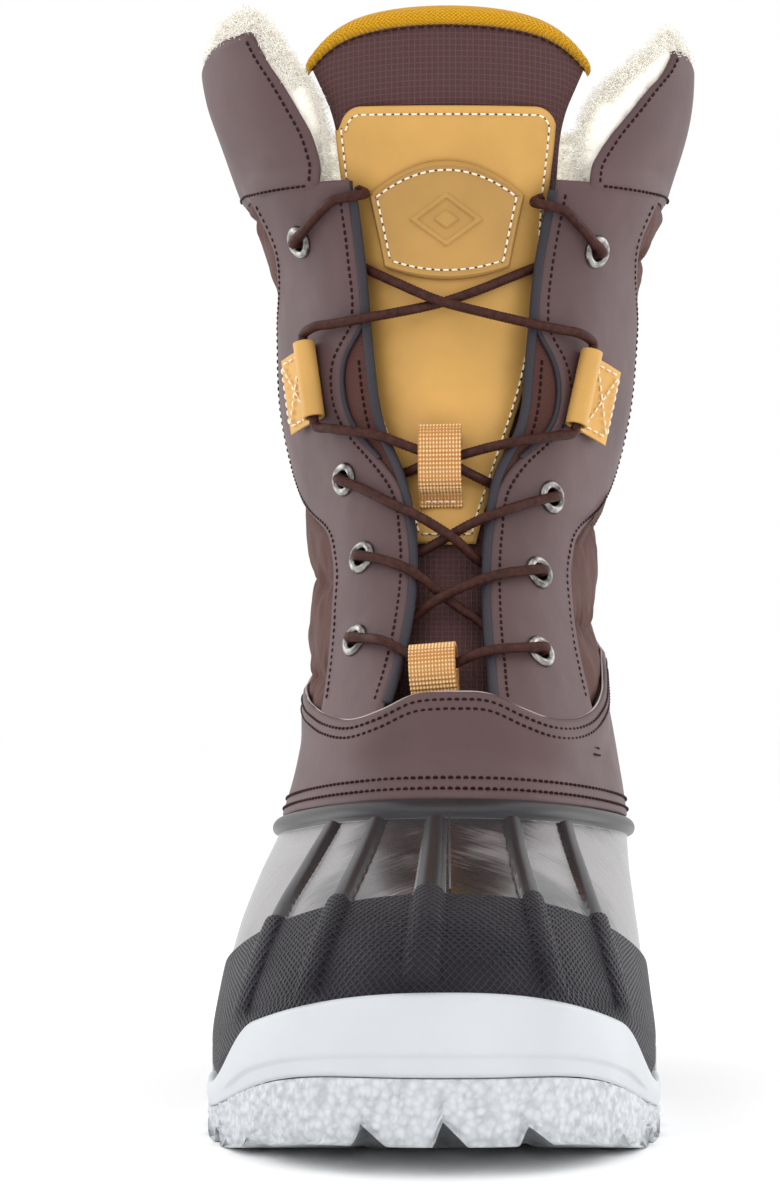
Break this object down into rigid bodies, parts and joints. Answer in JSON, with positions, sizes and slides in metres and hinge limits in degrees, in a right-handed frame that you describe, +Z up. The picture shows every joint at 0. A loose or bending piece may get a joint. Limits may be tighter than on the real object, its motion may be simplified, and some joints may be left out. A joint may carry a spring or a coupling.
{
  "type": "insulated hunting boot",
  "caption": "Insulated lace-up pac boot: rubber shell foot on a lugged sole, leather and quilted fleece-lined shaft, padded tongue, folding collar flaps, removable footbed",
  "frame": {"origin": "centre of the bounding box in plan, on the ground under the sole", "axes": "+Z up, toe towards -Y, heel towards +Y, +X to the inner side of the foot"},
  "size_m": [0.1468, 0.3115, 0.3169],
  "materials": {
    "sole": "matt pale grey moulded rubber, pebbled tread band",
    "shell": "semi-gloss black moulded rubber, cross-hatched toe bumper",
    "leather": "smooth purplish-brown leather with a soft satin sheen",
    "tan": "smooth tan leather with cream stitching",
    "ripstop": "brown ripstop with a fine raised grid",
    "quilted": "puckered brown nylon with a slight sheen",
    "batting": "white fibre insulation",
    "fleece": "cream curly pile",
    "binding": "mustard rib-knit tape",
    "webbing": "woven tan webbing",
    "foam": "dark grey foam-backed lining",
    "lace": "round dark brown braided cord with a spiral rib",
    "eyelet": "gunmetal, rolled rim",
    "shank": "plain spring steel strip",
    "board": "pressed fibre board",
    "footbed": "grey felt"
  },
  "bodies": {
    "boot": {"outsole": "sole", "midsole": "sole", "rubber_shell": "shell", "steel_shank": "shank", "insole_board": "board", "heel_counter": "board", "fleece_foot_lining": "fleece", "fleece_shaft_lining": "fleece", "vamp_saddle": "leather", "heel_backstay": "leather", "back_collar": "leather", "back_fleece_cuff": "fleece", "left_quilted_quarter": "quilted", "right_quilted_quarter": "quilted", "left_quarter_batting": "batting", "right_quarter_batting": "batting", "left_eyestay": "leather", "right_eyestay": "leather", "left_eyestay_lining": "foam", "right_eyestay_lining": "foam", "left_tongue_gusset": "quilted", "right_tongue_gusset": "quilted", "tongue": "ripstop", "tongue_facing": "tan", "tongue_label": "tan", "upper_lace_keeper": "webbing", "lower_lace_keeper": "webbing", "left_lace_loop": "tan", "right_lace_loop": "tan", "left_eyelet_1": "eyelet", "left_eyelet_2": "eyelet", "left_eyelet_3": "eyelet", "left_eyelet_4": "eyelet", "right_eyelet_1": "eyelet", "right_eyelet_2": "eyelet", "right_eyelet_3": "eyelet", "right_eyelet_4": "eyelet", "lace": "lace"},
    "tongue_lip": {"tongue_top": "ripstop", "tongue_binding": "binding"},
    "left_flap": {"left_collar_flap": "leather", "left_fleece_cuff": "fleece"},
    "right_flap": {"right_collar_flap": "leather", "right_fleece_cuff": "fleece"},
    "insole": {"footbed": "footbed"}
  },
  "joints": [
    {"name": "tongue_top_fold", "type": "hinge", "parent": "boot", "child": "tongue_lip", "pos_m": [-0.0001, 0.0207, 0.2877], "axis": [1, 0, 0], "range_deg": [0, 45]},
    {"name": "left_flap_fold", "type": "hinge", "parent": "boot", "child": "left_flap", "pos_m": [-0.05805, 0.05211, 0.26707], "axis": [0.431, -0.9023, 0], "range_deg": [0, 30]},
    {"name": "right_flap_fold", "type": "hinge", "parent": "boot", "child": "right_flap", "pos_m": [0.06163, 0.05266, 0.26708], "axis": [0.431, 0.9023, 0], "range_deg": [0, 30]},
    {"name": "footbed_lift", "type": "slide", "parent": "boot", "child": "insole", "axis": [0, 0, 1], "range_m": [0, 0.004]}
  ]
}
